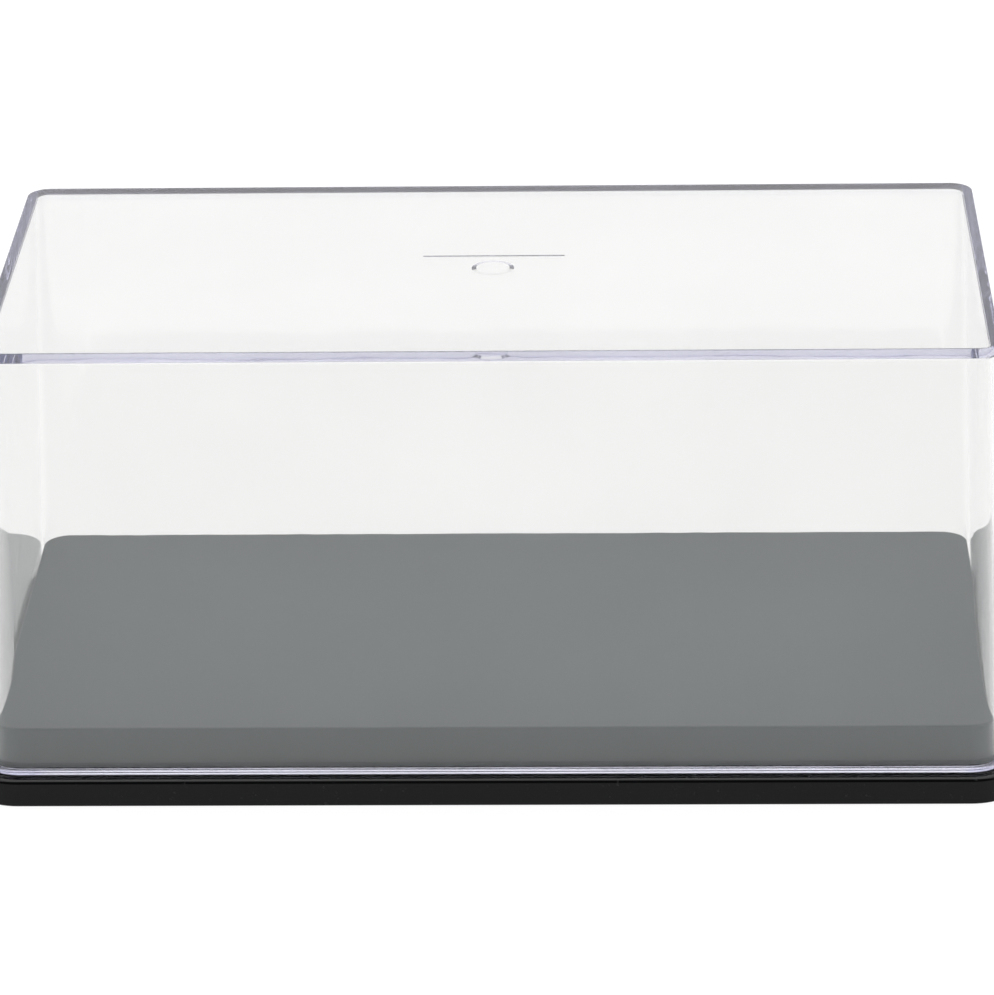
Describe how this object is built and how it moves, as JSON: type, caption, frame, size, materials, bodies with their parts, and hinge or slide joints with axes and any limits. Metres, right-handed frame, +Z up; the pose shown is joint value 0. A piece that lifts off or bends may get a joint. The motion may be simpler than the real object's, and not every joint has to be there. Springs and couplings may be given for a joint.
{
  "type": "model car display case",
  "caption": "Clear lift-off cover with leaning walls and a beaded foot, on a gloss black ledged base with a raised satin grey deck for showing a scale model car.",
  "frame": {"origin": "middle of the base's underside, on the surface that the case stands on", "axes": "+X along the case's width, to the right seen from the front; +Y to the back; +Z up, the way the cover lifts"},
  "size_m": [0.15, 0.0772, 0.0672],
  "materials": {
    "black_gloss_plastic": "gloss black moulded polystyrene",
    "grey_satin_plastic": "satin mid grey, very finely textured",
    "clear_plastic": "clear polished moulded polystyrene, faintly violet at its edges"
  },
  "bodies": {
    "base": {"base_tray": "black_gloss_plastic", "display_deck": "grey_satin_plastic"},
    "cover": {"clear_cover": "clear_plastic"}
  },
  "joints": [
    {"name": "cover_lift", "type": "slide", "parent": "base", "child": "cover", "axis": [0, 0, 1], "range_m": [0, 0.08]}
  ]
}
